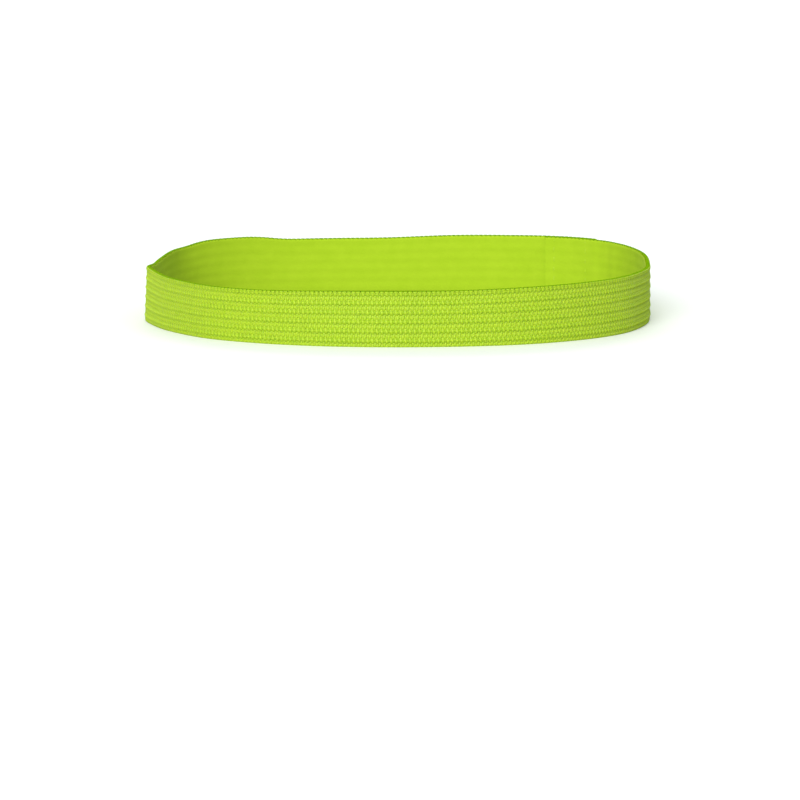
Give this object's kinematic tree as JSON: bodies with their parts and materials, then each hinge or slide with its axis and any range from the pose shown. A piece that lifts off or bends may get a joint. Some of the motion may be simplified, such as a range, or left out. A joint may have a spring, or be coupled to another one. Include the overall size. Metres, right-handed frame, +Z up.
{
  "type": "elastic sweat band",
  "caption": "Narrow woven elastic band with rubber-cored ribs, closed into a round loop by a stitched lap seam, worn round the forehead to hold sweat and hair.",
  "frame": {"origin": "centre of the loop, on the surface that its lower edge stands on", "axes": "+Z up along the band's height, +X to the right, -Y towards the forehead side; the lap seam is at the back (+Y), to the right of the middle"},
  "size_m": [0.15, 0.15, 0.0165],
  "materials": {
    "yarn": "matt woven polyester yarn, lime green",
    "rubber": "natural cut rubber thread, off-white, powdery",
    "thread": "polyester sewing thread with a slight sheen, lime green"
  },
  "bodies": {
    "root": {"woven_cover": "yarn", "rubber_core_1": "rubber", "rubber_core_2": "rubber", "rubber_core_3": "rubber", "rubber_core_4": "rubber", "rubber_core_5": "rubber", "rubber_core_6": "rubber", "needle_thread_a": "thread", "bobbin_thread_a": "thread", "needle_thread_b": "thread", "bobbin_thread_b": "thread"}
  },
  "joints": []
}
